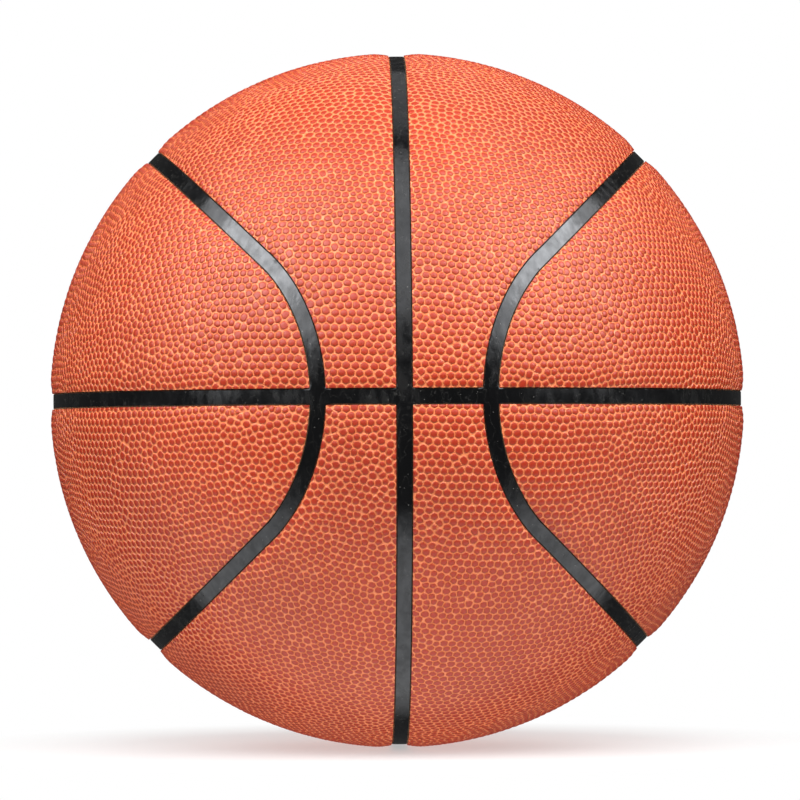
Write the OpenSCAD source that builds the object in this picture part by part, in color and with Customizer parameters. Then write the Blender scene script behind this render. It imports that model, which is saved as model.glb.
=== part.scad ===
// A basketball built up in layers round an air bladder. Eight pebbled cover panels, each on its own
// sponge pad, lie in the recesses of a rubber carcass, whose raised ribs are the dark channels.
// Millimetres, origin at the middle of the ball, +Z up, front towards -Y.
// Each channel follows a circle on the ball: one upright and one level great circle cross at the
// front and back, and a curved channel rounds each side. The curved one follows two great circles
// and is closed by a smaller circle at the front and at the back. A panel's wall and its rolled
// border are one flat profile turned about the axis of each circle that bounds it.

/* [Ball] */
// Distance round the ball over the cover panels
girth = 763; // [740:1:785]

/* [Layers] */
// Thickness of a cover panel
cover_t = 1.2; // [1:0.05:1.6]
// Thickness of the sponge pad behind a cover panel
pad_t = 1.2; // [0.8:0.1:2]
// Wall of the carcass under the pads
carcass_t = 0.8; // [0.6:0.1:1.2]
// Thickness of the layer of wound thread
winding_t = 0.5; // [0.4:0.1:1]
// Wall of the bladder
bladder_t = 0.8; // [0.6:0.1:1.2]
// Film of glue between two layers
glue_t = 0.05; // [0.03:0.01:0.1]

/* [Channels] */
// Width of a rib, which is the floor of a channel
rib_w = 5.4; // [4.4:0.1:7]
// Depth of a channel's floor below the crown of the panels
channel_depth = 1.15; // [0.9:0.05:1.5]
// Gap between a rib and the edge of a panel
edge_gap = 0.12; // [0.05:0.01:0.3]
// Angle along the level channel from the front of the ball to a curved channel
curve_front_deg = 13.7; // [11:0.1:17]
// Angle above level at which a curved channel passes the side of the ball
curve_side_deg = 45; // [40:1:50]

/* [Panel edges] */
// Width of the rolled border of a panel
roll_w = 5.5; // [4:0.1:7]
// Drop of a panel's border at its edge
roll_drop = 0.6; // [0.3:0.05:0.8]

/* [Valve] */
// Angle of the valve from the upright channel, seen from above
valve_side_deg = 13; // [11:1:15]
// Angle of the valve above level
valve_up_deg = 28; // [26:1:34]
// Bore that takes an inflating needle
needle_d = 2; // [1.6:0.1:2.2]
// Shank of the valve plug
plug_d = 6; // [5:0.5:7]
// Head of the valve plug
plug_head_d = 7.4; // [6.8:0.1:8]
// Thickness of the plug's head
plug_head_t = 1.4; // [1:0.1:2]
// Bead that holds the plug in its housing
plug_bead_d = 7.2; // [6.6:0.1:7.6]
// Length of the plug's bead
plug_bead_len = 2.4; // [1.6:0.1:3]
// Gap round the plug in its housing
plug_gap = 0.05; // [0.02:0.01:0.1]
// Neck of the valve housing, which shows at the surface
neck_d = 10; // [9:0.5:12]
// Body of the valve housing, inside the bladder
housing_d = 13; // [12:0.5:15]
// Length of the housing's body below its flange
housing_len = 10; // [8:0.5:14]
// Flange that joins the housing to the bladder
flange_d = 34; // [28:1:40]
// Thickness of the flange
flange_t = 1; // [0.8:0.1:1.6]
// Depth of the valve below the surface of the panel
valve_sink = 0.5; // [0.3:0.05:0.8]
// Depth of the dimple in the plug that guides the needle
dimple_t = 0.5; // [0.3:0.1:0.8]
// Width of that dimple
dimple_d = 4; // [3.2:0.1:5]

/* [Hidden] */

// Facets of a full circle
$fn = 180;
// Sides and levels of the ball, as the signs of X and Z
left = -1;
right = 1;
lower = -1;
upper = 1;

// The radii of the layers, from the outside in
ball_r = girth / (2 * PI);
cover_in_r = ball_r - cover_t;
pad_out_r = cover_in_r - glue_t;
pad_in_r = pad_out_r - pad_t;
carcass_out_r = pad_in_r - glue_t;
carcass_in_r = carcass_out_r - carcass_t;
winding_out_r = carcass_in_r - glue_t;
winding_in_r = winding_out_r - winding_t;
bladder_out_r = winding_in_r - glue_t;
bladder_in_r = bladder_out_r - bladder_t;
rib_r = ball_r - channel_depth;

// How far cutting tools run past what they cut
overrun = 3 * channel_depth;
tool_r = ball_r + overrun;
// Half the size of the blocks that part the ball
block = 2 * ball_r;
// Half of a channel between the edges of two panels
slot_half_w = rib_w / 2 + edge_gap;
// The circle that fits the rounded end of a curved channel, touching the runs, as an angle at the
// ball's middle. It is taken a little wider, so that it crosses the runs at a slight angle and
// their walls meet in a clean corner.
touching_deg = atan(sin(curve_side_deg) * sin(curve_front_deg)
    / (1 - sin(curve_side_deg) * cos(curve_front_deg)));
crossing_deg = 3;
end_deg = asin(sin(touching_deg) / cos(crossing_deg));
// Angle from the front of the ball to the end circle's middle, along the level channel
end_mid_deg = curve_front_deg + touching_deg;
// Angle round the end circle from its front to the place where it meets a run
end_turn_deg = acos(cos(end_mid_deg) * sin(curve_side_deg) / cos(touching_deg));
// Angle from +Z to the middle of a waist panel, where the carcass turns its poles, off the ribs
waist_mid_deg = (90 - curve_side_deg) / 2;

// The rolled border is an arc. It leaves the ball's surface at a slight angle, this share of the
// mean slope, so that the border shows as a soft line on the panel
crease_share = 0.33;
roll_crease_deg = atan(crease_share * roll_drop / roll_w);
roll_curvature = 2 * roll_drop * (1 - crease_share) / pow(roll_w, 2) + 1 / ball_r;
roll_r = 1 / roll_curvature;
// The arc's tool runs this share of the border's width past the arc's start
roll_past_share = 0.1;

// The valve's parts, as distances from the middle of the ball along the valve
valve_top_r = ball_r - valve_sink;
flange_out_r = bladder_in_r - glue_t;
flange_in_r = flange_out_r - flange_t;
housing_in_r = flange_in_r - housing_len;
plug_head_r = valve_top_r - plug_head_t;
plug_in_r = housing_in_r - plug_gap - plug_bead_len;
valve_bore_d = neck_d + 2 * edge_gap;
// The bead's cone as a share of its length
bead_cone_share = 0.6;

// What lies beyond the wall of a panel, in section. X is out of the ball, the channel's middle is
// at zero Y, and the panel is kept beyond half_w. A rolled border dips into the panel.
module beyond_profile(half_w, rolled) {
    start_w = half_w + roll_w;
    start_deg = asin(start_w / ball_r);
    arc_deg = start_deg - roll_crease_deg;
    translate([0, -block])
        square([tool_r, block + half_w]);
    if (rolled)
        difference() {
            translate([cover_in_r, 0])
                square([tool_r - cover_in_r, start_w + roll_past_share * roll_w]);
            translate([
                ball_r * cos(start_deg) - roll_r * cos(arc_deg),
                start_w - roll_r * sin(arc_deg)
            ])
                circle(roll_r);
        }
}

// All that lies below an upper panel's wall on the level channel
module below_level(half_w, rolled) {
    rotate_extrude()
        beyond_profile(half_w, rolled);
}

// All that lies to the right of a left panel's wall on the upright channel
module right_of_upright(half_w, rolled) {
    rotate([0, -90, 0])
        rotate_extrude()
            beyond_profile(half_w, rolled);
}

// All that lies above the upper run of the left curved channel, or below it
module above_run(half_w, rolled) {
    rotate([0, curve_side_deg + 180, 0])
        rotate_extrude()
            beyond_profile(half_w, rolled);
}

module below_run(half_w, rolled) {
    rotate([0, curve_side_deg, 0])
        rotate_extrude()
            beyond_profile(half_w, rolled);
}

// All that lies outside the front end circle of the left curved channel, or inside it
module outside_end(half_w, rolled) {
    rotate([90, 0, -end_mid_deg])
        rotate_extrude()
            right_half_plane()
                rotate(90 - end_deg)
                    beyond_profile(half_w, rolled);
}

module inside_end(half_w, rolled) {
    rotate([90, 0, -end_mid_deg])
        rotate_extrude()
            right_half_plane()
                rotate(90 - end_deg)
                    mirror([0, 1])
                        beyond_profile(half_w, rolled);
}

module right_half_plane() {
    intersection() {
        children();
        translate([0, -2 * block])
            square([2 * block, 4 * block]);
    }
}

// The space in front of the place where the upper run and the front end circle join
module front_of_join() {
    rotate([90, 0, -end_mid_deg])
        rotate([0, 0, end_turn_deg])
            translate([-block, -2 * block, -block])
                cube([2 * block, 2 * block, 2 * block]);
}

module shell(out_r, in_r) {
    difference() {
        sphere(out_r);
        sphere(in_r);
    }
}

// The upper left piece of a shell inside the curved channel. One wall is cut after the other.
module side_piece(out_r, in_r, half_w, rolled) {
    difference() {
        difference() {
            difference() {
                difference() {
                    shell(out_r, in_r);
                    below_level(half_w, rolled);
                }
                above_run(half_w, rolled);
            }
            intersection() {
                outside_end(half_w, rolled);
                front_of_join();
            }
        }
        mirror([0, 1, 0])
            intersection() {
                outside_end(half_w, rolled);
                front_of_join();
            }
    }
}

// The upper left piece of a shell between the upright and the curved channel
module waist_piece(out_r, in_r, half_w, rolled) {
    difference() {
        difference() {
            difference() {
                difference() {
                    difference() {
                        shell(out_r, in_r);
                        below_level(half_w, rolled);
                    }
                    right_of_upright(half_w, rolled);
                }
                difference() {
                    below_run(half_w, rolled);
                    front_of_join();
                    mirror([0, 1, 0])
                        front_of_join();
                }
            }
            inside_end(half_w, rolled);
        }
        mirror([0, 1, 0])
            inside_end(half_w, rolled);
    }
}

// Moves what is drawn at the upper left to the given side and level
module at_side(side, level) {
    mirror([side == right ? 1 : 0, 0, 0])
        mirror([0, 0, level == lower ? 1 : 0])
            children();
}

// Turns +Z onto the valve's direction, at the upper right of the back
module along_valve() {
    rotate([0, 0, 90 - valve_side_deg])
        rotate([0, 90 - valve_up_deg, 0])
            children();
}

// A hole through every layer round the neck of the valve housing
module valve_bore() {
    along_valve()
        cylinder(h = tool_r, d = valve_bore_d);
}

module cover_side(side, level) {
    color("#b8442c")
        at_side(side, level)
            side_piece(ball_r, cover_in_r, slot_half_w, true);
}

module cover_waist(side, level) {
    color("#c04a30")
        difference() {
            at_side(side, level)
                waist_piece(ball_r, cover_in_r, slot_half_w, true);
            if (side == right && level == upper)
                valve_bore();
        }
}

module pad_side(side, level) {
    color("#e8a678")
        at_side(side, level)
            side_piece(pad_out_r, pad_in_r, slot_half_w, false);
}

module pad_waist(side, level) {
    color("#e0a070")
        difference() {
            at_side(side, level)
                waist_piece(pad_out_r, pad_in_r, slot_half_w, false);
            if (side == right && level == upper)
                valve_bore();
        }
}

// The rubber shell. Between its eight recesses stand the ribs, which are the channels' floors.
module carcass() {
    color("#1c1b1d")
        difference() {
            rotate([0, waist_mid_deg, 0])
                sphere(rib_r);
            for (side = [left, right], level = [lower, upper])
                at_side(side, level) {
                    side_piece(ball_r, carcass_out_r, rib_w / 2, false);
                    waist_piece(ball_r, carcass_out_r, rib_w / 2, false);
                }
            rotate([0, waist_mid_deg, 0])
                sphere(carcass_in_r);
            valve_bore();
        }
}

// Thread wound over the bladder in every direction and set in latex
module winding() {
    color("#d8d2c0")
        difference() {
            shell(winding_out_r, winding_in_r);
            valve_bore();
        }
}

module bladder() {
    color("#2a2a2e")
        difference() {
            shell(bladder_out_r, bladder_in_r);
            valve_bore();
        }
}

// The plug's outline beside its bore: the bead that holds it, its shank, its head and the dimple
module plug_profile() {
    polygon([
        [needle_d / 2, plug_in_r],
        [plug_d / 2, plug_in_r],
        [plug_bead_d / 2, plug_in_r + bead_cone_share * plug_bead_len],
        [plug_bead_d / 2, plug_in_r + plug_bead_len],
        [plug_d / 2, plug_in_r + plug_bead_len],
        [plug_d / 2, plug_head_r],
        [plug_head_d / 2, plug_head_r],
        [plug_head_d / 2, valve_top_r],
        [dimple_d / 2, valve_top_r],
        [needle_d / 2, valve_top_r - dimple_t]
    ]);
}

// A soft plug that a needle opens and that closes behind it
module valve_plug() {
    color("#3a3a3e")
        along_valve()
            rotate_extrude()
                plug_profile();
}

// The housing's neck shows at the surface, its flange is cured to the inside of the bladder
module valve_housing() {
    color("#242428")
        along_valve()
            difference() {
                union() {
                    intersection() {
                        shell(flange_out_r, flange_in_r);
                        cylinder(h = ball_r, d = flange_d);
                    }
                    translate([0, 0, housing_in_r])
                        cylinder(h = flange_out_r - flange_t / 2 - housing_in_r, d = housing_d);
                    translate([0, 0, housing_in_r])
                        cylinder(h = valve_top_r - housing_in_r, d = neck_d);
                }
                translate([0, 0, housing_in_r - overrun])
                    cylinder(h = valve_top_r + 2 * overrun - housing_in_r, d = plug_d + 2 * plug_gap);
                translate([0, 0, plug_head_r])
                    cylinder(h = plug_head_t + overrun, d = plug_head_d + 2 * plug_gap);
            }
}

bladder();
valve_housing();
valve_plug();
winding();
carcass();
pad_waist(left, upper);  // pad_waist_upper_left
pad_waist(right, upper);  // pad_waist_upper_right
pad_waist(left, lower);  // pad_waist_lower_left
pad_waist(right, lower);  // pad_waist_lower_right
pad_side(left, upper);  // pad_side_upper_left
pad_side(right, upper);  // pad_side_upper_right
pad_side(left, lower);  // pad_side_lower_left
pad_side(right, lower);  // pad_side_lower_right
cover_waist(left, upper);  // cover_waist_upper_left
cover_waist(right, upper);  // cover_waist_upper_right
cover_waist(left, lower);  // cover_waist_lower_left
cover_waist(right, lower);  // cover_waist_lower_right
cover_side(left, upper);  // cover_side_upper_left
cover_side(right, upper);  // cover_side_upper_right
cover_side(left, lower);  // cover_side_lower_left
cover_side(right, lower);  // cover_side_lower_right
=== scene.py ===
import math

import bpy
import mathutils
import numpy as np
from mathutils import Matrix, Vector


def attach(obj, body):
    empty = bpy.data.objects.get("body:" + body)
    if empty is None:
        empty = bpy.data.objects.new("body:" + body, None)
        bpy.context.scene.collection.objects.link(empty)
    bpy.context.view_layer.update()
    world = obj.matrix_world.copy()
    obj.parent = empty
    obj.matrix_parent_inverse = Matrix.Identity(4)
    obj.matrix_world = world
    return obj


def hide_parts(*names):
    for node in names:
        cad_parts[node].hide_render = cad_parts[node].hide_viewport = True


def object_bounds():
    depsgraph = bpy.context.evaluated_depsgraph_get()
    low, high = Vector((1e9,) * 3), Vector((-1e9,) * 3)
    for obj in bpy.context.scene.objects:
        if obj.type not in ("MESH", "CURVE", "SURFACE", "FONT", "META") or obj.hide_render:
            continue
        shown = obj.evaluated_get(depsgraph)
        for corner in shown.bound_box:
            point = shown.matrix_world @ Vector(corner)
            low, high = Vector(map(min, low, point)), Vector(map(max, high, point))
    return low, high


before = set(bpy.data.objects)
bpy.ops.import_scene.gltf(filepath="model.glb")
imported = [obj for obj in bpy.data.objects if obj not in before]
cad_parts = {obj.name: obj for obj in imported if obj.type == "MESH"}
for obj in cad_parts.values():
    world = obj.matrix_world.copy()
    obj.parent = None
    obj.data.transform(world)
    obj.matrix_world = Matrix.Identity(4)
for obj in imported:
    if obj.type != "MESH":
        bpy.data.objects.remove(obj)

# %% [markdown]
# # A basketball in layers
# A good ball is built from the inside out: an air bladder, a winding of thread, a rubber carcass
# with raised ribs, sponge pads, and eight pebbled cover panels glued between the ribs. The ribs
# are the dark channels that the fingers find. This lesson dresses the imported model: it makes
# tens of thousands of pebbles as real geometry, smooth ribs, a turned valve, and a plain studio.

cad_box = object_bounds()

MM = 0.001
GIRTH = 0.763
BALL_R = GIRTH / (2 * math.pi)
COVER_T = 1.2 * MM
PAD_T = 1.2 * MM
CARCASS_T = 0.8 * MM
WINDING_T = 0.5 * MM
BLADDER_T = 0.8 * MM
GLUE_T = 0.05 * MM
RIB_W = 5.4 * MM
EDGE_GAP = 0.12 * MM
CHANNEL_DEPTH = 1.15 * MM
COVER_IN_R = BALL_R - COVER_T
PAD_OUT_R = COVER_IN_R - GLUE_T
CARCASS_OUT_R = PAD_OUT_R - PAD_T - GLUE_T
CARCASS_IN_R = CARCASS_OUT_R - CARCASS_T
BLADDER_OUT_R = CARCASS_IN_R - GLUE_T - WINDING_T - GLUE_T
BLADDER_IN_R = BLADDER_OUT_R - BLADDER_T
RIB_R = BALL_R - CHANNEL_DEPTH
PANEL_HALF_W = RIB_W / 2 + EDGE_GAP
LEFT, RIGHT, LOWER, UPPER = -1, 1, -1, 1
SIDES = {LEFT: "left", RIGHT: "right"}
LEVELS = {LOWER: "lower", UPPER: "upper"}
PANELS = [(kind, side, level) for kind in ("waist", "side") for side in SIDES for level in LEVELS]
print("ball radius", BALL_R, "channel floor", RIB_R, "panels", len(PANELS))

# %% [markdown]
# ## The channels' circles
# On the real ball every channel follows a circle. Two of them are great circles that cross at the
# front and at the back. The curved channel on each side follows two more great circles, and a
# smaller circle closes it at the front and at the back. A wall of a panel lies half a channel's width
# beside its circle, so one function can tell how much room a point has inside a panel: positive
# inside, zero on the wall, negative in the channel. The closing circle would touch the two great
# circles, and is taken a little wider, so that it crosses them at a slight angle.

# %% The channels' circles
CURVE_FRONT = math.radians(13.7)
CURVE_SIDE = math.radians(45)
CROSSING = math.radians(3)
TOUCHING = math.atan(math.sin(CURVE_SIDE) * math.sin(CURVE_FRONT)
    / (1 - math.sin(CURVE_SIDE) * math.cos(CURVE_FRONT)))
END_ANGLE = math.asin(math.sin(TOUCHING) / math.cos(CROSSING))
END_MIDDLE = CURVE_FRONT + TOUCHING
END_TURN = math.acos(math.cos(END_MIDDLE) * math.sin(CURVE_SIDE) / math.cos(TOUCHING))
END_AXIS = np.array([-math.sin(END_MIDDLE), -math.cos(END_MIDDLE), 0])
END_ACROSS = np.array([math.cos(END_MIDDLE), -math.sin(END_MIDDLE), 0])
RUN_NORMAL = np.array([math.sin(CURVE_SIDE), 0, math.cos(CURVE_SIDE)])
OTHER_END = np.array([1, -1, 1])


def upper_left(points, panel):
    """Mirrors points of a panel onto the upper left quarter, or back again."""
    _, side, level = panel
    return points * np.array([-side, 1, level])


def is_before_join(points):
    """True in front of the place where the run and the front end circle join."""
    return points @ END_ACROSS * math.sin(END_TURN) > points[:, 2] * math.cos(END_TURN)


def beyond_end(points):
    """Distance outside the front end circle."""
    out = points @ END_AXIS
    across = np.linalg.norm(points - np.outer(out, END_AXIS), axis=1)
    return across * math.cos(END_ANGLE) - out * math.sin(END_ANGLE)


def side_room(points, half_w):
    """Room inside the upper left side panel."""
    room = np.minimum(points[:, 2], -(points @ RUN_NORMAL)) - half_w
    for end in (points, points * OTHER_END):
        inside = -beyond_end(end) - half_w
        room = np.where(is_before_join(end), np.minimum(room, inside), room)
    return room


def waist_room(points, half_w):
    """Room inside the upper left waist panel."""
    room = np.minimum(points[:, 2], -points[:, 0]) - half_w
    above_run = points @ RUN_NORMAL - half_w
    between = ~is_before_join(points) & ~is_before_join(points * OTHER_END)
    room = np.where(between, np.minimum(room, above_run), room)
    for end in (points, points * OTHER_END):
        room = np.minimum(room, beyond_end(end) - half_w)
    return room


ROOMS = {"waist": waist_room, "side": side_room}


def room_in(points, panel, half_w):
    """Room inside any panel, whose walls lie half_w beside the channels' circles."""
    return ROOMS[panel[0]](upper_left(points, panel), half_w)


print("end circle", math.degrees(END_ANGLE), "degrees")

# %% [markdown]
# ## Helpers for edit mode
# Blender's operators work on what is selected, so faces are chosen in code, by their place, and
# the rest stays as it is. Places, areas and marks are read for a whole mesh at once, which is far
# quicker than point by point. The smooth ball is what every shell here starts from.

# %% Helpers for edit mode
SMOOTH_ANGLE = math.radians(40)


def pick(piece):
    """Makes piece the only selected and active object."""
    bpy.ops.object.select_all(action="DESELECT")
    piece.select_set(True)
    bpy.context.view_layer.objects.active = piece


def values_of(items, name, width=1, kind=float):
    """One value, or one row of them, for each item of a mesh."""
    values = np.empty(len(items) * width, dtype=kind)
    items.foreach_get(name, values)
    return values.reshape(-1, width) if width > 1 else values


def points_of(piece):
    return values_of(piece.data.vertices, "co", 3)


def middles_of(piece):
    return values_of(piece.data.polygons, "center", 3)


def chosen_points(piece):
    """True for the points that were left selected."""
    return values_of(piece.data.vertices, "select", kind=bool)


def everywhere(piece):
    return np.ones(len(piece.data.polygons), dtype=bool)


def edit_faces(piece, wanted):
    """Opens piece in edit mode with only the wanted faces selected."""
    pick(piece)
    bpy.ops.object.mode_set(mode="EDIT")
    bpy.ops.mesh.select_mode(type="FACE")
    bpy.ops.mesh.select_all(action="DESELECT")
    bpy.ops.object.mode_set(mode="OBJECT")
    piece.data.polygons.foreach_set("select", wanted)
    bpy.ops.object.mode_set(mode="EDIT")


def close_edit():
    bpy.ops.object.mode_set(mode="OBJECT")


def move_points(piece, points):
    piece.data.vertices.foreach_set("co", points.ravel())
    piece.data.update()


def to_radius(points, radius):
    return points * (radius / np.linalg.norm(points, axis=1))[:, None]


def apply_modifiers(piece):
    pick(piece)
    for modifier in list(piece.modifiers):
        bpy.ops.object.modifier_apply(modifier=modifier.name)


def copy_of(piece, name):
    twin = piece.copy()
    twin.data = piece.data.copy()
    twin.name = name
    bpy.context.collection.objects.link(twin)
    return twin


def add_ball(fineness, radius):
    """A new ico sphere. Each step of fineness halves the edges of its triangles."""
    bpy.ops.object.select_all(action="DESELECT")
    bpy.ops.mesh.primitive_ico_sphere_add(subdivisions=fineness, radius=radius)
    return bpy.context.object


def shade_soft(piece):
    """Shades a piece smooth, but for its sharp corners."""
    pick(piece)
    bpy.ops.object.shade_smooth_by_angle(angle=SMOOTH_ANGLE)


print("solids to dress", len(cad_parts))

# %% [markdown]
# ## Where the pebbles sit
# The mould's pebbles are packed like an untidy honeycomb, 2.8 mm apart. An ico sphere's points are
# spread evenly, so they are a good start. They are shaken with a fixed seed, and a convex hull
# joins them anew. Then, round by round, the edges are turned to suit the points' places and pull or
# push their ends like springs, until the spacing is even and the rows wander as on the real ball.

# %% Where the pebbles sit
PITCH = 2.77 * MM
SPRING_STEPS = 6
SPRING_PULL = 0.15
SPRING_REST = 1.03


def neighbours(piece):
    """Every pair of joined points, both ways round."""
    pairs = values_of(piece.data.edges, "vertices", 2, int)
    return np.concatenate([pairs, pairs[:, ::-1]])


def shaken(points, share, dice):
    """Points moved about on the ball, by a share of the pitch."""
    return to_radius(points + dice.normal(0, share * PITCH, points.shape), BALL_R)


def join_anew(piece):
    """Drops the edges and faces, and stretches a new skin of triangles over the points."""
    edit_faces(piece, everywhere(piece))
    bpy.ops.mesh.delete(type="EDGE_FACE")
    bpy.ops.mesh.select_all(action="SELECT")
    bpy.ops.mesh.convex_hull(use_existing_faces=False, join_triangles=False)
    close_edit()


def turn_edges(piece):
    """Turns each edge that would give its two triangles a better shape the other way round."""
    edit_faces(piece, everywhere(piece))
    bpy.ops.mesh.beautify_fill(angle_limit=math.pi)
    close_edit()


def spring_out(piece):
    """Turns the edges, then lets them push and pull the points, on the ball."""
    turn_edges(piece)
    points = points_of(piece)
    ends = neighbours(piece)
    for _ in range(SPRING_STEPS):
        way = points[ends[:, 1]] - points[ends[:, 0]]
        length = np.linalg.norm(way, axis=1)
        pull = way * (SPRING_PULL * (1 - SPRING_REST * PITCH / length))[:, None]
        move = np.zeros_like(points)
        np.add.at(move, ends[:, 0], pull)
        points = to_radius(points + move, BALL_R)
    move_points(piece, points)


def half_spacing(piece, points):
    """Half the mean distance from each point to its neighbours."""
    ends = neighbours(piece)
    lengths = np.linalg.norm(points[ends[:, 0]] - points[ends[:, 1]], axis=1)
    return np.bincount(ends[:, 0], lengths) / np.bincount(ends[:, 0]) / 2


print("a spring at rest is", SPRING_REST * PITCH / MM, "mm long")

# %% [markdown]
# ## A cell for each pebble
# The Dual Mesh node turns each point into a face, which is the ground of one pebble. A shell of
# such cells is made once for the whole ball. The pebbles' middles also go into a search tree, which
# finds the pebble nearest to a place without trying all of them.

# %% A cell for each pebble
START_FINENESS = 2
CELL_CUTS = 26
SHAKE_SHARE = 0.21
TURNING_ROUNDS = 8
LAST_SHAKE_SHARE = 0.04
PATTERN_SEED = 11


def add_dual(piece):
    """Turns each point into a face, with a small tree of geometry nodes."""
    group = bpy.data.node_groups.new("points_to_cells", "GeometryNodeTree")
    for way in ("INPUT", "OUTPUT"):
        group.interface.new_socket(name="Geometry", in_out=way, socket_type="NodeSocketGeometry")
    start = group.nodes.new("NodeGroupInput")
    dual = group.nodes.new("GeometryNodeDualMesh")
    end = group.nodes.new("NodeGroupOutput")
    group.links.new(start.outputs[0], dual.inputs[0])
    group.links.new(dual.outputs[0], end.inputs[0])
    piece.modifiers.new("cells", "NODES").node_group = group


def make_cells():
    """The ball's cells, with the middles of the pebbles and half their spacing."""
    cells = add_ball(START_FINENESS, BALL_R)
    cells.name = "pebble_cells"
    bpy.ops.object.mode_set(mode="EDIT")
    bpy.ops.mesh.subdivide(number_cuts=CELL_CUTS)
    close_edit()
    dice = np.random.default_rng(PATTERN_SEED)
    move_points(cells, shaken(to_radius(points_of(cells), BALL_R), SHAKE_SHARE, dice))
    join_anew(cells)
    for _ in range(TURNING_ROUNDS):
        spring_out(cells)
    middles = shaken(points_of(cells), LAST_SHAKE_SHARE, dice)
    move_points(cells, middles)
    turn_edges(cells)
    spacing = half_spacing(cells, middles)
    add_dual(cells)
    apply_modifiers(cells)
    move_points(cells, to_radius(points_of(cells), BALL_R))
    return cells, middles, spacing


cells, pebble_middles, pebble_radii = make_cells()
pebble_finder = mathutils.kdtree.KDTree(len(pebble_middles))
for index, middle in enumerate(pebble_middles):
    pebble_finder.insert(middle, index)
pebble_finder.balance()
print("pebbles on the ball", len(pebble_middles), "mean radius", pebble_radii.mean(),
    "spread", pebble_radii.std())

# %% [markdown]
# ## Cutting along the walls
# The maker stamps each panel from a sheet. Here planes cut it from a shell, because a plane cuts a
# ball in a circle, and each wall follows one. The side panel lies inside the closing circle, and
# the waist panel outside, so the same planes face the other way for it.

# %% Cutting along the walls
def cut_away(piece, wanted, place, normal, panel):
    """Cuts the wanted faces with a plane and deletes what lies behind it."""
    edit_faces(piece, wanted)
    bpy.ops.mesh.bisect(
        plane_co=upper_left(np.array(place), panel),
        plane_no=upper_left(np.array(normal), panel),
        clear_inner=True)
    close_edit()


def cut_panel(piece, panel, half_w, radius):
    """Cuts the shell round one panel's walls, half_w beside the channels' circles."""
    is_waist = panel[0] == "waist"
    cut_away(piece, everywhere(piece), (0, 0, half_w), (0, 0, 1), panel)
    if is_waist:
        cut_away(piece, everywhere(piece), (-half_w, 0, 0), (-1, 0, 0), panel)
        end_wall = math.cos(END_ANGLE + math.asin(half_w / radius)) * radius
    else:
        cut_away(piece, everywhere(piece), -RUN_NORMAL * half_w, -RUN_NORMAL, panel)
        end_wall = math.cos(END_ANGLE - math.asin(half_w / radius)) * radius
    for flip in (np.ones(3), OTHER_END):
        axis = END_AXIS * flip
        if is_waist:
            cut_away(piece, everywhere(piece), axis * end_wall, -axis, panel)
        else:
            middles = upper_left(middles_of(piece), panel) * flip
            cut_away(piece, is_before_join(middles), axis * end_wall, axis, panel)
    if is_waist:
        middles = upper_left(middles_of(piece), panel)
        between = ~is_before_join(middles) & ~is_before_join(middles * OTHER_END)
        cut_away(piece, between, RUN_NORMAL * half_w, RUN_NORMAL, panel)


print("a wall lies", PANEL_HALF_W / MM, "mm beside its circle")

# %% [markdown]
# ## A sheet for each panel
# Only the cells over one panel are kept, and cut. A cut cell stays cut, as the pebbles at a real
# panel's edge are. Points that a cut left very close to each other are merged, which can pull them
# off the wall, so the border is then set back onto it. The room tells how far to move each point,
# and three probes beside it tell in which direction.

# %% A sheet for each panel
MERGE = 0.28 * MM
SPARE = 3 * MM
SNAP_ROUNDS = 3
PROBE = 0.001 * MM


def border_points(piece):
    """True for the points on an open border."""
    pick(piece)
    bpy.ops.object.mode_set(mode="EDIT")
    bpy.ops.mesh.select_mode(type="VERT")
    bpy.ops.mesh.select_all(action="DESELECT")
    bpy.ops.mesh.select_non_manifold()
    close_edit()
    return chosen_points(piece)


def snap_border(piece, panel, half_w):
    """Moves the open border onto the panel's walls."""
    points = points_of(piece)
    border = border_points(piece)
    for _ in range(SNAP_ROUNDS):
        edge = points[border]
        room = room_in(edge, panel, half_w)
        slope = np.empty_like(edge)
        for axis in range(3):
            step = np.zeros(3)
            step[axis] = PROBE
            slope[:, axis] = (room_in(edge + step, panel, half_w) - room) / PROBE
        points[border] = edge - slope * room[:, None]
    move_points(piece, points)


def make_sheet(shell, name, panel, radius):
    """A thin sheet with the panel's outline, made of the shell's faces."""
    sheet = copy_of(shell, name)
    far = room_in(middles_of(sheet), panel, PANEL_HALF_W) < -SPARE
    edit_faces(sheet, far)
    bpy.ops.mesh.delete(type="FACE")
    close_edit()
    cut_panel(sheet, panel, PANEL_HALF_W, radius)
    edit_faces(sheet, everywhere(sheet))
    bpy.ops.mesh.remove_doubles(threshold=MERGE)
    close_edit()
    snap_border(sheet, panel, PANEL_HALF_W)
    return sheet


def thicken(sheet, thickness):
    """Gives a sheet its thickness, inwards."""
    solid = sheet.modifiers.new("thickness", "SOLIDIFY")
    solid.thickness = thickness
    solid.offset = -1
    solid.use_rim = True
    apply_modifiers(sheet)


def name_of(panel):
    kind, side, level = panel
    return f"{kind}_{LEVELS[level]}_{SIDES[side]}"


print("panels", [name_of(panel) for panel in PANELS])

# %% [markdown]
# ## The valve's place
# The valve sits in the upper right panel at the back. Its parts are drawn as half an outline and
# turned, as on a lathe. The hole in the panel comes from a cylinder and a Boolean.

# %% The valve's place
VALVE_SIDE = math.radians(13)
VALVE_UP = math.radians(28)
VALVE_SINK = 0.5 * MM
NECK_D = 10 * MM
VALVE_TOP_R = BALL_R - VALVE_SINK
VALVE_BORE_R = NECK_D / 2 + EDGE_GAP
VALVE_TURN = (mathutils.Matrix.Rotation(math.pi / 2 - VALVE_SIDE, 4, "Z")
    @ mathutils.Matrix.Rotation(math.pi / 2 - VALVE_UP, 4, "Y"))
VALVE_WAY = np.array(VALVE_TURN.to_3x3().col[2])
VALVE_PANEL = ("waist", RIGHT, UPPER)
ROUND_STEPS = 96


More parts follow.
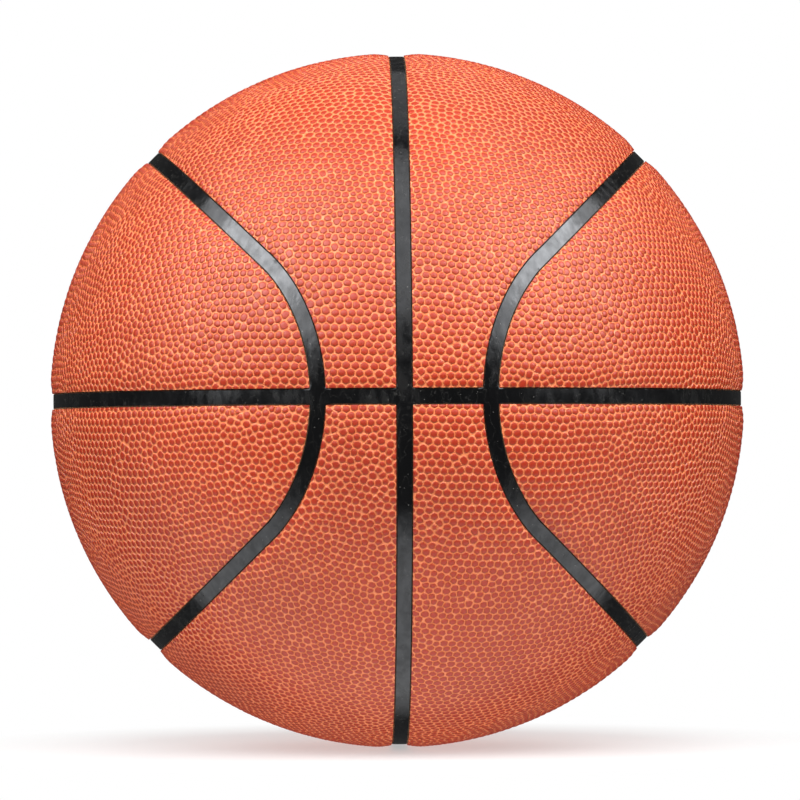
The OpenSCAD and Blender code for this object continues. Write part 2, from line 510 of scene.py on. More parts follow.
def bore_for_valve(piece):
    """Cuts the round hole for the valve's neck."""
    bpy.ops.object.select_all(action="DESELECT")
    bpy.ops.mesh.primitive_cylinder_add(
        vertices=ROUND_STEPS, radius=VALVE_BORE_R, depth=BALL_R, location=VALVE_WAY * BALL_R,
        rotation=VALVE_TURN.to_euler())
    cutter = bpy.context.object
    hole = piece.modifiers.new("valve_hole", "BOOLEAN")
    hole.object = cutter
    hole.operation = "DIFFERENCE"
    hole.solver = "EXACT"
    apply_modifiers(piece)
    bpy.data.objects.remove(cutter)


print("the valve looks along", VALVE_WAY.round(3))

# %% [markdown]
# ## The height of the skin
# A pebble rises from the valley in a round shoulder, and its crown is a low dome. The height isn't
# left to the faces: it is worked out from how far a point is from the nearest line between two
# pebbles. So all valleys are equally wide, and pebbles cut by the edge of the panel keep their
# true height there. The border of the panel rolls down as well, steepest at the wall.

# %% The height of the skin
PEBBLE_H = 0.38 * MM
SHOULDER = 0.56 * MM
ROUND_SHARE = 1.05
DOME_SHARE = 2.1
ROLL_W = 5.5 * MM
ROLL_DROP = 0.76 * MM
ROLL_CREASE = 0.33


def pebble_shape(points):
    """How far each point lies inside its pebble's outline, and from 0 to 1 how high."""
    inward = np.empty(len(points))
    rise = np.empty(len(points))
    for index, point in enumerate(points):
        (own, pebble, near), (other, _, far) = pebble_finder.find_n(point, 2)
        from_line = (far * far - near * near) / (2 * (other - own).length)
        from_round = ROUND_SHARE * pebble_radii[pebble] - near
        inward[index] = max(min(from_line, from_round), 0)
        slope = min(inward[index] / SHOULDER, 1)
        rise[index] = slope * (2 - slope) * (1 - DOME_SHARE * (near / PITCH) ** 2)
    return inward, rise


def roll(room):
    """How far the border of a panel has rolled down, this far from its wall."""
    share = np.clip(1 - room / ROLL_W, 0, 1)
    return ROLL_DROP * (ROLL_CREASE * share + (1 - ROLL_CREASE) * share ** 2)


print("pebbles rise", PEBBLE_H / MM, "mm, borders roll down", ROLL_DROP / MM, "mm")

# %% [markdown]
# ## Raising the pebbles
# The cells' edges are halved, so that an outline can be round. Each cell is inset for a shoulder,
# and its middle is poked for the crown. Then every point on the outside goes to its height. How
# far it lies inside its pebble stays on the mesh as an attribute, because the colour follows that.

# %% Raising the pebbles
INSET = 0.4 * MM
SLIVER_SHARE = 0.4
CELL_AREA = PITCH ** 2 * math.sin(math.pi / 3)
QUAD_SIDES = 4
FACING = 0.6


def outward(piece):
    """How far each face looks outwards, from 1 on the outside to -1 on the inside."""
    middles = middles_of(piece)
    normals = values_of(piece.data.polygons, "normal", 3)
    return np.einsum("ij,ij->i", middles, normals) / np.linalg.norm(middles, axis=1)


def is_outer(piece):
    """True for the faces on the outside of a panel."""
    radius = np.linalg.norm(middles_of(piece), axis=1)
    return (outward(piece) > FACING) & (radius > (BALL_R + COVER_IN_R) / 2)


def is_rim(piece):
    """True for the faces on the panel's walls."""
    return np.abs(outward(piece)) < FACING


def face_sides(piece):
    return values_of(piece.data.polygons, "loop_total", kind=int)


def split_faces(piece):
    """Adds the faces that a pebble's round outline needs."""
    edit_faces(piece, is_outer(piece))
    bpy.ops.mesh.subdivide(number_cuts=1)
    close_edit()
    areas = values_of(piece.data.polygons, "area")
    edit_faces(piece, is_outer(piece) & (areas > SLIVER_SHARE * CELL_AREA))
    bpy.ops.mesh.inset(thickness=INSET, depth=0, use_individual=True)
    close_edit()
    edit_faces(piece, is_outer(piece) & (face_sides(piece) > QUAD_SIDES))
    bpy.ops.mesh.poke()
    close_edit()


def mark_edges(piece):
    """Keeps the two borders of the rim sharp when the rest is shaded smooth."""
    edit_faces(piece, is_rim(piece))
    bpy.ops.mesh.region_to_loop()
    bpy.ops.mesh.mark_sharp()
    close_edit()
    pick(piece)
    bpy.ops.object.shade_smooth(keep_sharp_edges=True)


def raise_pebbles(piece, panel):
    """Lifts the outside's points to the height of the pebbles and the rolled border."""
    mark_edges(piece)
    split_faces(piece)
    points = points_of(piece)
    on_top = np.zeros(len(points), dtype=bool)
    for polygon in np.nonzero(is_outer(piece))[0]:
        on_top[list(piece.data.polygons[polygon].vertices)] = True
    inward, rise = np.zeros((2, len(points)))
    inward[on_top], rise[on_top] = pebble_shape(points[on_top])
    room = room_in(points, panel, PANEL_HALF_W)
    radius = BALL_R - roll(room) - PEBBLE_H * (1 - rise)
    points[on_top] = to_radius(points[on_top], radius[on_top])
    move_points(piece, points)
    mark = piece.data.attributes.new("inward_mm", "FLOAT", "POINT")
    mark.data.foreach_set("value", inward / MM)


print("ground of one pebble", CELL_AREA / MM ** 2, "mm2")

# %% [markdown]
# ## The eight cover panels
# All eight come from the same steps, each from its own part of the pebble pattern, so no two
# are alike. Each stands for its CAD panel.

# %% The eight cover panels
def make_cover(panel):
    name = "cover_" + name_of(panel)
    cover = make_sheet(cells, name + "_pebbled", panel, BALL_R)
    thicken(cover, COVER_T)
    if panel == VALVE_PANEL:
        bore_for_valve(cover)
    raise_pebbles(cover, panel)
    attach(cover, "root")
    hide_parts(name)
    triangles = int((face_sides(cover) - 2).sum())
    print(cover.name, triangles, "triangles")
    return cover


covers = [make_cover(panel) for panel in PANELS]
bpy.data.objects.remove(cells)

# %% [markdown]
# ## The carcass
# The real carcass is one rubber moulding whose raised ribs stay in sight as channels. A smooth
# ball is cut along both walls of each rib, and again a little inside them, where the rib's worn
# edge begins. The faces over the eight recesses are pushed in, and a smaller ball is the inside.

# %% The carcass
RIB_EDGE = 0.36 * MM
CROSSING_FADE = 0.5 * MM
RIB_FINENESS = 7
WALL_FINENESS = 6


def rib_cuts(half_w):
    """Every plane half_w beside a rib's circle, as a place and a normal."""
    for sign in (-1, 1):
        yield (0, 0, sign * half_w), (0, 0, 1)
        yield (sign * half_w, 0, 0), (1, 0, 0)
        for tilt in (-1, 1):
            normal = RUN_NORMAL * np.array([tilt, 1, 1])
            yield normal * sign * half_w, normal
        end_wall = math.cos(END_ANGLE + sign * math.asin(half_w / RIB_R)) * RIB_R
        for side in (-1, 1):
            for end in (-1, 1):
                axis = END_AXIS * np.array([side, end, 1])
                yield axis * end_wall, axis


def recess_rooms(points):
    """Room inside each recess, positive in it and negative on a rib, the nearest one last."""
    return np.sort([room_in(points, panel, RIB_W / 2) for panel in PANELS], axis=0)


def cut_ribs(carcass):
    """Cuts the ball along both walls of each rib, and along the inside of its worn edges."""
    for place, normal in (*rib_cuts(RIB_W / 2), *rib_cuts(RIB_W / 2 - RIB_EDGE)):
        edit_faces(carcass, everywhere(carcass))
        bpy.ops.mesh.bisect(plane_co=place, plane_no=normal, threshold=PROBE)
        close_edit()


def wear_edges(carcass):
    """Lowers the ribs' edges, but not at the corners of a crossing, where two ribs meet."""
    points = to_radius(points_of(carcass), RIB_R)
    rooms = recess_rooms(points)
    # The third nearest recess is a rib's width away at the corner of a crossing, else farther.
    from_crossing = np.clip((-rooms[-3] - RIB_W) / CROSSING_FADE, 0, 1)
    worn = np.clip(RIB_EDGE + rooms[-1], 0, RIB_EDGE) * from_crossing
    move_points(carcass, to_radius(points, RIB_R - worn))


def sink_recesses(carcass):
    """Pushes the faces between the ribs in, down to where the pads lie."""
    edit_faces(carcass, recess_rooms(middles_of(carcass))[-1] > 0)
    bpy.ops.mesh.extrude_region_move(TRANSFORM_OT_translate={"value": (0, 0, 0)})
    close_edit()
    sunk = chosen_points(carcass)
    points = points_of(carcass)
    points[sunk] = to_radius(points[sunk], CARCASS_OUT_R)
    move_points(carcass, points)


def line_inside(carcass):
    """Adds the inner wall, a smaller ball turned inside out."""
    wall = add_ball(WALL_FINENESS, CARCASS_IN_R)
    edit_faces(wall, everywhere(wall))
    bpy.ops.mesh.flip_normals()
    close_edit()
    pick(carcass)
    wall.select_set(True)
    bpy.ops.object.join()


carcass = add_ball(RIB_FINENESS, RIB_R)
carcass.name = "carcass_ribbed"
cut_ribs(carcass)
wear_edges(carcass)
sink_recesses(carcass)
line_inside(carcass)
bore_for_valve(carcass)
shade_soft(carcass)
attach(carcass, "root")
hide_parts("carcass")
print("carcass", len(carcass.data.polygons), "faces")

# %% [markdown]
# ## The sponge pads
# Behind each cover panel lies a pad of firm sponge with the same outline. It is cut with the same
# planes, from a smooth ball, and thickened inwards. It is full to its skin.

# %% The sponge pads
PAD_FINENESS = 6


def make_pad(shell, panel):
    name = "pad_" + name_of(panel)
    pad = make_sheet(shell, name + "_sponge", panel, PAD_OUT_R)
    thicken(pad, PAD_T)
    if panel == VALVE_PANEL:
        bore_for_valve(pad)
    shade_soft(pad)
    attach(pad, "root")
    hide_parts(name)
    return pad


pad_shell = add_ball(PAD_FINENESS, PAD_OUT_R)
pads = [make_pad(pad_shell, panel) for panel in PANELS]
bpy.data.objects.remove(pad_shell)
print("pads", len(pads))

# %% [markdown]
# ## The valve
# A rubber housing is cured to the inside of the bladder, and its neck comes up through every
# layer. A softer plug is pushed into it, which closes by itself behind the pump's needle. Both
# are round, so half an outline of each is drawn and spun, and a bevel softens the edges.

# %% The valve
PLUG_R = 3 * MM
PLUG_GAP = 0.05 * MM
PLUG_HEAD_R = 3.7 * MM
PLUG_HEAD_T = 1.4 * MM
BEAD_R = 3.6 * MM
BEAD_LEN = 2.4 * MM
BEAD_CONE_SHARE = 0.6
NEEDLE_R = 1 * MM
DIMPLE_R = 2 * MM
DIMPLE_T = 0.5 * MM
HOUSING_R = 6.5 * MM
HOUSING_LEN = 10 * MM
FLANGE_R = 17 * MM
FLANGE_T = 1 * MM
FLANGE_OUT_R = BLADDER_IN_R - GLUE_T
FLANGE_IN_R = FLANGE_OUT_R - FLANGE_T
HOUSING_IN_R = FLANGE_IN_R - HOUSING_LEN
PLUG_IN_R = HOUSING_IN_R - PLUG_GAP - BEAD_LEN
HEAD_UNDER_R = VALVE_TOP_R - PLUG_HEAD_T
SOFT_EDGE = 0.22 * MM
SOFT_EDGE_STEPS = 3
SEAM = GLUE_T / 10
FLANGE_STEPS = 6


def on_ball(ball_r, across):
    """The point of an outline at that distance from the axis, on a ball."""
    return across, math.sqrt(ball_r ** 2 - across ** 2)


def along_ball(ball_r, start, end):
    """The points of an outline that follows a ball from one distance off the axis to another."""
    steps = [start + (end - start) * step / FLANGE_STEPS for step in range(FLANGE_STEPS + 1)]
    return [on_ball(ball_r, across) for across in steps]


def spun(name, outline):
    """Turns a closed half outline, of distances off the valve's axis and heights along it."""
    mesh = bpy.data.meshes.new(name)
    count = len(outline)
    mesh.from_pydata([(across, 0, up) for across, up in outline],
        [(index, (index + 1) % count) for index in range(count)], [])
    piece = bpy.data.objects.new(name, mesh)
    bpy.context.collection.objects.link(piece)
    pick(piece)
    bpy.ops.object.mode_set(mode="EDIT")
    bpy.ops.mesh.select_all(action="SELECT")
    bpy.ops.mesh.spin(steps=ROUND_STEPS, angle=2 * math.pi, center=(0, 0, 0), axis=(0, 0, 1))
    bpy.ops.mesh.select_all(action="SELECT")
    bpy.ops.mesh.remove_doubles(threshold=SEAM)
    bpy.ops.mesh.normals_make_consistent(inside=False)
    close_edit()
    bevel = piece.modifiers.new("soft_edge", "BEVEL")
    bevel.width = SOFT_EDGE
    bevel.segments = SOFT_EDGE_STEPS
    bevel.limit_method = "ANGLE"
    apply_modifiers(piece)
    piece.matrix_world = VALVE_TURN
    bpy.ops.object.transform_apply()
    shade_soft(piece)
    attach(piece, "root")
    return piece


plug = spun("valve_plug_turned", [
    (NEEDLE_R, PLUG_IN_R), (PLUG_R, PLUG_IN_R),
    (BEAD_R, PLUG_IN_R + BEAD_CONE_SHARE * BEAD_LEN), (BEAD_R, PLUG_IN_R + BEAD_LEN),
    (PLUG_R, PLUG_IN_R + BEAD_LEN), (PLUG_R, HEAD_UNDER_R), (PLUG_HEAD_R, HEAD_UNDER_R),
    (PLUG_HEAD_R, VALVE_TOP_R), (DIMPLE_R, VALVE_TOP_R), (NEEDLE_R, VALVE_TOP_R - DIMPLE_T),
])
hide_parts("valve_plug")
housing = spun("valve_housing_turned", [
    (PLUG_R + PLUG_GAP, HOUSING_IN_R), (PLUG_R + PLUG_GAP, HEAD_UNDER_R),
    (PLUG_HEAD_R + PLUG_GAP, HEAD_UNDER_R), (PLUG_HEAD_R + PLUG_GAP, VALVE_TOP_R),
    (NECK_D / 2, VALVE_TOP_R),
    *along_ball(FLANGE_OUT_R, NECK_D / 2, FLANGE_R),
    *along_ball(FLANGE_IN_R, FLANGE_R, HOUSING_R),
    (HOUSING_R, HOUSING_IN_R),
])
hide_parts("valve_housing")
print("valve", len(plug.data.polygons), len(housing.data.polygons), "faces")

# %% [markdown]
# ## Nodes for the materials
# A material is a tree of nodes, and most of its nodes come back in every tree. So each kind gets
# a helper that adds it, joins it up and hands on its output, and a material then reads as a
# recipe. Patterns follow Object coordinates, which are the real ones in metres.

# %% Nodes for the materials
NOISE_RANGE = (0.3, 0.7)


def new_material(name):
    material = bpy.data.materials.new(name)
    material.use_nodes = True
    tree = material.node_tree
    return material, tree, tree.nodes["Principled BSDF"]


def feed(tree, value, socket):
    """Gives a socket a number, or joins it to another node's output."""
    if isinstance(value, (int, float)):
        socket.default_value = value
    else:
        tree.links.new(value, socket)


def add_place(tree):
    return tree.nodes.new("ShaderNodeTexCoord").outputs["Object"]


def add_noise(tree, scale, detail, place):
    noise = tree.nodes.new("ShaderNodeTexNoise")
    noise.inputs["Scale"].default_value = scale
    noise.inputs["Detail"].default_value = detail
    tree.links.new(place, noise.inputs["Vector"])
    return noise.outputs["Fac"]


def add_streaks(tree, stretch, detail, place):
    """Noise with a scale of its own along each axis."""
    stretched = tree.nodes.new("ShaderNodeMapping")
    stretched.inputs["Scale"].default_value = stretch
    tree.links.new(place, stretched.inputs["Vector"])
    return add_noise(tree, 1, detail, stretched.outputs["Vector"])


def add_ramp(tree, value, stops):
    """A colour for each value, between stops of a place and a colour."""
    ramp = tree.nodes.new("ShaderNodeValToRGB")
    while len(ramp.color_ramp.elements) < len(stops):
        ramp.color_ramp.elements.new(0.5)
    for element, (at, colour) in zip(ramp.color_ramp.elements, stops):
        element.position = at
        element.color = (*colour, 1)
    tree.links.new(value, ramp.inputs["Fac"])
    return ramp.outputs["Color"]


def add_map(tree, value, low, high, start=0, end=1, smooth=False):
    """Maps low to high onto start to end, and holds both ends."""
    node = tree.nodes.new("ShaderNodeMapRange")
    if smooth:
        node.interpolation_type = "SMOOTHSTEP"
    for name, number in (("From Min", low), ("From Max", high), ("To Min", start), ("To Max", end)):
        node.inputs[name].default_value = number
    tree.links.new(value, node.inputs["Value"])
    return node.outputs["Result"]


def add_math(tree, operation, first, second=0):
    node = tree.nodes.new("ShaderNodeMath")
    node.operation = operation
    feed(tree, first, node.inputs[0])
    feed(tree, second, node.inputs[1])
    return node.outputs["Value"]


def add_bump(tree, shader, height, depth):
    bump = tree.nodes.new("ShaderNodeBump")
    bump.inputs["Distance"].default_value = depth
    tree.links.new(height, bump.inputs["Height"])
    tree.links.new(bump.outputs["Normal"], shader.inputs["Normal"])


def dress(pieces, material):
    for piece in pieces:
        piece.data.materials.clear()
        piece.data.materials.append(material)
    print(material.name, "on", len(pieces), "pieces,", len(material.node_tree.nodes), "nodes")


# %% [markdown]
# ## The covers' skin
# The skin's colour follows its pebbles: brick red crowns, and a lighter orange ground in the valleys.
# The valleys' orange is partly the skin's own colour and partly painted highlight: it is made
# brighter to stand in for the highlights on the pebbles' flanks. The attribute that the pebbles left
# on the mesh picks the colour, in millimetres from a pebble's edge. Wide patches of dirt change the
# shade and the gloss a little, and a bump sharpens the crowns and adds the skin's fine grain.

# %% The covers' skin
# The valley stops are partly painted highlight: brighter than the skin's own orange, for the flanks'
# highlights.
SKIN_AND_HIGHLIGHT_COLOURS = [
    (0.0, (0.95, 0.27, 0.1)), (0.2, (0.9, 0.21, 0.073)),
    (0.36, (0.5, 0.046, 0.012)), (0.7, (0.44, 0.028, 0.006)),
]
PATCH_SCALE = 150
PATCH_SHIFTS = (-0.04, 0.04)
DIRT_SCALE = 18
DIRT_SHADES = (0.9, 1.06)
DIRT_GLOSS = (0.38, 0.28)
CROWN_RISE = (0.02, 0.46)
GRAIN_SCALE = 2500
GRAIN_SHARE = 0.12
SKIN_BUMP = 0.48 * MM
SKIN_SPECULAR = 0.8


def cover_material():
    material, tree, shader = new_material("pebbled_cover")
    place = add_place(tree)
    inward = tree.nodes.new("ShaderNodeAttribute")
    inward.attribute_name = "inward_mm"
    patches = add_map(tree, add_noise(tree, PATCH_SCALE, 2, place), *NOISE_RANGE, *PATCH_SHIFTS)
    colour = add_ramp(tree, add_math(tree, "ADD", inward.outputs["Fac"], patches), SKIN_AND_HIGHLIGHT_COLOURS)
    dirt = add_noise(tree, DIRT_SCALE, 5, place)
    tint = tree.nodes.new("ShaderNodeVectorMath")
    tint.operation = "SCALE"
    tree.links.new(colour, tint.inputs[0])
    tree.links.new(add_map(tree, dirt, *NOISE_RANGE, *DIRT_SHADES), tint.inputs["Scale"])
    tree.links.new(tint.outputs["Vector"], shader.inputs["Base Color"])
    tree.links.new(add_map(tree, dirt, *NOISE_RANGE, *DIRT_GLOSS), shader.inputs["Roughness"])
    crown = add_map(tree, inward.outputs["Fac"], *CROWN_RISE, smooth=True)
    grain = add_math(tree, "MULTIPLY", add_noise(tree, GRAIN_SCALE, 2, place), GRAIN_SHARE)
    add_bump(tree, shader, add_math(tree, "ADD", crown, grain), SKIN_BUMP)
    shader.inputs["Specular IOR Level"].default_value = SKIN_SPECULAR
    return material


dress(covers, cover_material())

# %% [markdown]
# ## The channels' rubber
# The rubber is nearly black and shiny, so it is seen by what it mirrors and by what lies on it:
# smears and streaks that dull it, specks of dust, and fine scratches. Dust is
# a Voronoi pattern in which only some cells hold a speck, each with its own size and paleness. A
# scratch is where a stretched noise passes through its middle value.

# %% The channels' rubber
RUBBER_COLOURS = [(0.0, (0.002, 0.002, 0.0022)), (1.0, (0.32, 0.31, 0.29))]
SMEAR_SCALE = 55
STREAK_STRETCH = (330, 420, 150)
GLOSS_RANGE = (0.2, 0.34)
RUBBER_GLOSS = (0.14, 0.28)
DULL_RANGE = (0.35, 0.65)
DULL_SPECULAR = (1, 0.66)
HAZE_RANGE = (0.27, 0.42)
HAZE_PALENESS = (0, 0.025)
DUST_SCALE = 750
DUSTLESS_SHARE = 0.62
SPECK_SIZES = (0.04, 0.16)
SPECK_PALENESS = (0.03, 0.55)
SCRATCH_STRETCH = (330, 40, 160)
SCRATCH_WIDTH = 0.006
SCRATCH_PALENESS = 0.12
RUBBER_BUMP = 0.16 * MM
RUBBER_IOR = 1.66
RUBBER_TINT = (0.94, 0.96, 1, 1)


def add_dust(tree, place):
    """How pale the dust makes each place."""
    dust = tree.nodes.new("ShaderNodeTexVoronoi")
    dust.inputs["Scale"].default_value = DUST_SCALE
    tree.links.new(place, dust.inputs["Vector"])
    apart = tree.nodes.new("ShaderNodeSeparateColor")
    tree.links.new(dust.outputs["Color"], apart.inputs["Color"])
    chosen = add_math(tree, "GREATER_THAN", apart.outputs["Red"], DUSTLESS_SHARE)
    size = add_map(tree, apart.outputs["Red"], DUSTLESS_SHARE, 1, *SPECK_SIZES)
    speck = add_math(tree, "LESS_THAN", dust.outputs["Distance"], size)
    paleness = add_map(tree, apart.outputs["Green"], 0, 1, *SPECK_PALENESS)
    return add_math(tree, "MULTIPLY", add_math(tree, "MULTIPLY", speck, chosen), paleness)


def add_scratches(tree, place):
    """How pale the scratches make each place."""
    lines = add_streaks(tree, SCRATCH_STRETCH, 2, place)
    off_line = add_math(tree, "ABSOLUTE", add_math(tree, "SUBTRACT", lines, 0.5))
    return add_map(tree, off_line, 0, SCRATCH_WIDTH, SCRATCH_PALENESS, 0)


def rubber_material():
    material, tree, shader = new_material("channel_rubber")
    place = add_place(tree)
    smears = add_noise(tree, SMEAR_SCALE, 6, place)
    streaks = add_streaks(tree, STREAK_STRETCH, 5, place)
    rubbed = add_math(tree, "MULTIPLY", smears, streaks)
    haze = add_map(tree, rubbed, *HAZE_RANGE, *HAZE_PALENESS)
    marks = add_math(tree, "MAXIMUM", add_dust(tree, place), haze)
    marks = add_math(tree, "MAXIMUM", marks, add_scratches(tree, place))
    tree.links.new(add_ramp(tree, marks, RUBBER_COLOURS), shader.inputs["Base Color"])
    gloss = add_map(tree, rubbed, *GLOSS_RANGE, *RUBBER_GLOSS)
    tree.links.new(gloss, shader.inputs["Roughness"])
    dulled = add_map(tree, streaks, *DULL_RANGE, *DULL_SPECULAR)
    tree.links.new(dulled, shader.inputs["Specular IOR Level"])
    add_bump(tree, shader, add_math(tree, "ADD", smears, rubbed), RUBBER_BUMP)
    shader.inputs["IOR"].default_value = RUBBER_IOR
    shader.inputs["Specular Tint"].default_value = RUBBER_TINT
    return material


dress([carcass], rubber_material())

# %% [markdown]
# ## The layers inside
# Sponge, valve rubber, thread and butyl are matte, and nothing of them but the valve's end is
# seen. So they share one plain material with a fine grain, and differ only in its colour, gloss
# and size.

# %% The layers inside
DARK_SHARE = 0.75
GRAIN_RANGE = (0.35, 0.65)


def plain_material(name, colour, roughness, scale, depth):
    """A matte material with a fine grain of that scale and depth."""
    material, tree, shader = new_material(name)
    grain = add_noise(tree, scale, 4, add_place(tree))
    dark = tuple(channel * DARK_SHARE for channel in colour)
    tint = add_ramp(tree, grain, list(zip(GRAIN_RANGE, (dark, colour))))
    tree.links.new(tint, shader.inputs["Base Color"])
    add_bump(tree, shader, grain, depth)
    shader.inputs["Roughness"].default_value = roughness
    return material


winding, bladder = (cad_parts[name] for name in ("winding", "bladder"))
for pieces, name, colour, roughness, scale, depth in (
        (pads, "sponge", (0.78, 0.48, 0.27), 0.9, 900, 0.1 * MM),
        ([plug, housing], "valve_rubber", (0.02, 0.02, 0.022), 0.5, 700, 0.02 * MM),
        ([winding], "thread", (0.7, 0.66, 0.55), 0.8, 1500, 0.2 * MM),
        ([bladder], "butyl", (0.03, 0.03, 0.035), 0.45, 300, 0.05 * MM)):
    dress(pieces, plain_material(name, colour, roughness, scale, depth))

# %% [markdown]
# ## Camera
# The photograph was taken from far away with a long lens, so nearly half of the ball is in sight.
# The angles by which the ball was turned to the camera, and the lens's length in pixels, were
# fitted to the channels in the photograph. Here the ball stays and the camera turns.

# %% Camera
LENS_PX = 5196
FRAME_PX = 800
SENSOR = 36
CAMERA_SHIFT = (0.0035, 0.0005)
CAMERA_RADII = 15
TILT, LEAN, ROLL_TURN = math.radians(-0.68), math.radians(-0.27), math.radians(1.16)
seen_turn = (mathutils.Matrix.Rotation(ROLL_TURN, 3, "Z")
    @ mathutils.Matrix.Rotation(TILT, 3, "X") @ mathutils.Matrix.Rotation(LEAN, 3, "Y"))
camera_turn = seen_turn.transposed()
camera_at = camera_turn @ mathutils.Vector((0, -CAMERA_RADII * BALL_R, 0))
facing = camera_turn @ mathutils.Matrix.Rotation(math.pi / 2, 3, "X")
camera_data = bpy.data.cameras.new("camera")
camera_data.sensor_width = SENSOR
camera_data.lens = LENS_PX / FRAME_PX * SENSOR
camera_data.shift_x, camera_data.shift_y = CAMERA_SHIFT
camera = bpy.data.objects.new("camera", camera_data)
bpy.context.collection.objects.link(camera)
camera.matrix_world = mathutils.Matrix.Translation(camera_at) @ facing.to_4x4()
bpy.context.scene.camera = camera
print("lens", camera_data.lens, "mm, camera at", camera_at)

# %% [markdown]
# ## Studio
# A round soft box stands above on each side, with a brighter middle. A long box hangs over the
# front and a weak one over the back. Their reflections lie on the channels where the photograph
# has them. Three fills farther off brighten the covers. Glossy rays don't see them, so that the
# channels don't mirror them.

# %% Studio
LEFT_WAY = (-0.66, -0.42, 0.62)
RIGHT_WAY = (0.66, -0.4, 0.64)
# Distance, width and height, and glow
SIDE_BOX = (0.95, (1.25, 1.25), 1.5)
SIDE_MIDDLE = (0.9, (0.62, 0.62), 2.7)
# Name and way, then the same three
SOFT_BOXES = [
    ("left_box", LEFT_WAY, *SIDE_BOX),
    ("left_box_middle", LEFT_WAY, *SIDE_MIDDLE),
    ("right_box", RIGHT_WAY, *SIDE_BOX),
    ("right_box_middle", RIGHT_WAY, *SIDE_MIDDLE),
    ("front_top_box", (0, -0.57, 0.82), 1.2, (0.95, 1.35), 0.8),
    ("back_top_box", (0, 0.42, 0.9), 1.2, (0.9, 0.9), 0.3),
]
FILL_AT = 1.4
FILL_SIZE = (1.1, 1.1)
FILLS = [
    ("front_fill", (0, -1, 0.2), 1.9),
    ("top_fill", (0, -0.6, 0.8), 3.1),
    ("back_fill", (0, 1, 0.35), 4),
]


def soft_box(name, way, distance, size, glow):
    """A lamp of that width and height, as bright as the glow, facing the ball."""
    light = bpy.data.lights.new(name, "AREA")
    light.shape = "ELLIPSE"
    light.size, light.size_y = size
    light.energy = glow * math.pi * math.pi * size[0] * size[1] / 4
    lamp = bpy.data.objects.new(name, light)
    way = mathutils.Vector(way).normalized()
    lamp.location = way * distance
    lamp.rotation_euler = way.to_track_quat("Z", "Y").to_euler()
    bpy.context.collection.objects.link(lamp)
    print(name, light.energy, "W")
    return lamp


for box in SOFT_BOXES:
    soft_box(*box)
for name, way, glow in FILLS:
    soft_box(name, way, FILL_AT, FILL_SIZE, glow).visible_glossy = False

# %% [markdown]
# ## Floor
# The ball stands on a pale table. To the camera it is white, and keeps the soft shadow under the
# ball. The channels mirror a bright strip of the table in front of the ball, as those in the
# photograph do, and the rest of it is dark to them. Only the table near the ball lights the ball
# from below, so that its lower half is darker than its upper one. Light Path tells what kind of
# ray meets the floor, and so which of the three it finds.

# %% Floor
bpy.context.scene.view_settings.view_transform = "Standard"
FLOOR_Z = cad_box[0][2]
FLOOR_W = 8
STRIP_FRONT = (-0.225, -0.165)
STRIP_BACK = (-0.06, -0.04)
STRIP_GLOW = 0.74
ROOM_GLOW = 0.04
TABLE_REACH = (0.2, 0.34)
TABLE_LIGHT = (1.15, 0.05)
SHADOW_FADE = (0.10, 0.17)
SHADOW_SHARE = 0.55
FLOOR_COLOUR = (0.8, 0.8, 0.8, 1)
FLOOR_ROUGHNESS = 0.8

bpy.ops.object.select_all(action="DESELECT")
bpy.ops.mesh.primitive_plane_add(size=FLOOR_W, location=(0, 0, FLOOR_Z))
floor = bpy.context.object
floor.name = "floor"
bpy.ops.object.transform_apply()


def add_mix(tree, share, first, second):
    mix = tree.nodes.new("ShaderNodeMixShader")
    tree.links.new(share, mix.inputs["Fac"])
    tree.links.new(first, mix.inputs[1])
    tree.links.new(second, mix.inputs[2])
    return mix.outputs["Shader"]


def add_glow(tree, strength=1):
    """White light of the surface's own."""
    glow = tree.nodes.new("ShaderNodeEmission")
    feed(tree, strength, glow.inputs["Strength"])
    return glow.outputs["Emission"]


def add_distance(tree, apart):
    """The distance from the ball's axis, level with the floor."""
    level = tree.nodes.new("ShaderNodeCombineXYZ")
    for axis in ("X", "Y"):
        tree.links.new(apart.outputs[axis], level.inputs[axis])
    out = tree.nodes.new("ShaderNodeVectorMath")
    out.operation = "LENGTH"
    tree.links.new(level.outputs["Vector"], out.inputs[0])
    return out.outputs["Value"]


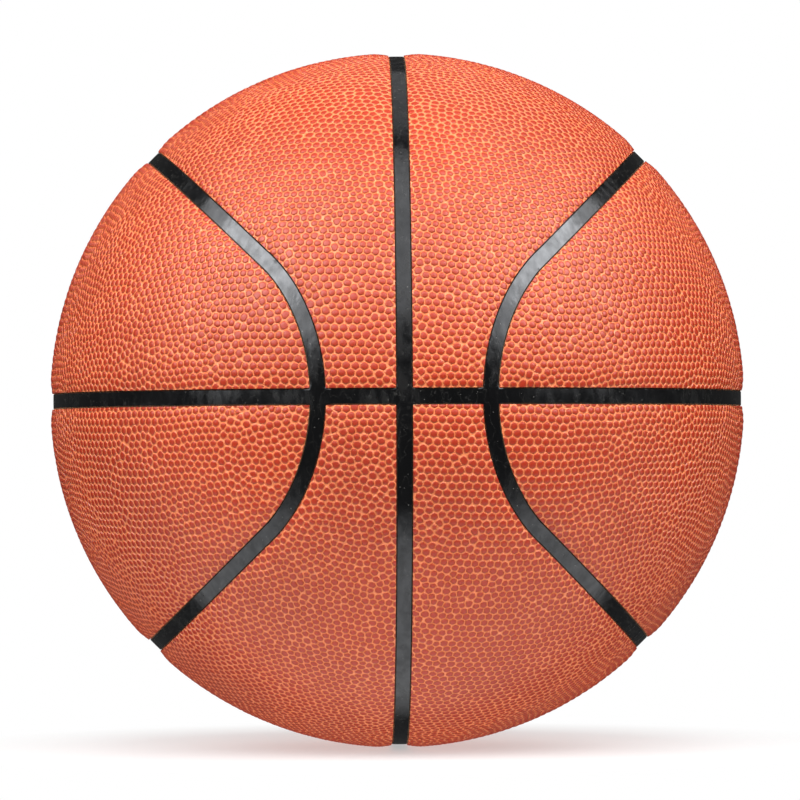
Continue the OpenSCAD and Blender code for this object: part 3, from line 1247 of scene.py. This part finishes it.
def add_strip(tree, apart):
    """How brightly the table is mirrored, most of all in a strip in front of the ball."""
    begins = add_map(tree, apart.outputs["Y"], *STRIP_FRONT)
    ends = add_map(tree, apart.outputs["Y"], *STRIP_BACK, 1, 0)
    strip = add_math(tree, "MULTIPLY", begins, ends)
    return add_map(tree, strip, 0, 1, ROOM_GLOW, STRIP_GLOW)


def floor_material():
    material, tree, shader = new_material("floor")
    shader.inputs["Base Color"].default_value = FLOOR_COLOUR
    shader.inputs["Roughness"].default_value = FLOOR_ROUGHNESS
    path = tree.nodes.new("ShaderNodeLightPath")
    apart = tree.nodes.new("ShaderNodeSeparateXYZ")
    tree.links.new(add_place(tree), apart.inputs["Vector"])
    distance = add_distance(tree, apart)
    near = add_map(tree, distance, *SHADOW_FADE, SHADOW_SHARE, 0)
    seen = add_mix(tree, near, add_glow(tree), shader.outputs["BSDF"])
    mirrored = add_glow(tree, add_strip(tree, apart))
    light = add_glow(tree, add_map(tree, distance, *TABLE_REACH, *TABLE_LIGHT))
    unseen = add_mix(tree, path.outputs["Is Glossy Ray"], light, mirrored)
    both = add_mix(tree, path.outputs["Is Camera Ray"], unseen, seen)
    tree.links.new(both, tree.nodes["Material Output"].inputs["Surface"])
    return material


dress([floor], floor_material())

# %% [markdown]
# ## Surround
# Around the table lies a room, which is a world without walls here. It is white to the camera, as
# the photograph's background is, and dark to the channels. To all else it gives a little light.

# %% Surround
WORLD_LIGHT = 0.12
WHITE = (1, 1, 1, 1)


def surround():
    """The world, which shows each kind of ray what it should find."""
    world = bpy.data.worlds.new("surround")
    world.use_nodes = True
    tree = world.node_tree
    path = tree.nodes.new("ShaderNodeLightPath")
    soft = tree.nodes["Background"]
    soft.inputs["Color"].default_value = WHITE
    glow = add_map(tree, path.outputs["Is Glossy Ray"], 0, 1, WORLD_LIGHT, ROOM_GLOW)
    tree.links.new(glow, soft.inputs["Strength"])
    white = tree.nodes.new("ShaderNodeBackground")
    white.inputs["Color"].default_value = WHITE
    both = add_mix(tree, path.outputs["Is Camera Ray"], soft.outputs["Background"],
        white.outputs["Background"])
    tree.links.new(both, tree.nodes["World Output"].inputs["Surface"])
    return world


bpy.context.scene.world = surround()
print("light from the room", WORLD_LIGHT, "and its glow in reflections", ROOM_GLOW)
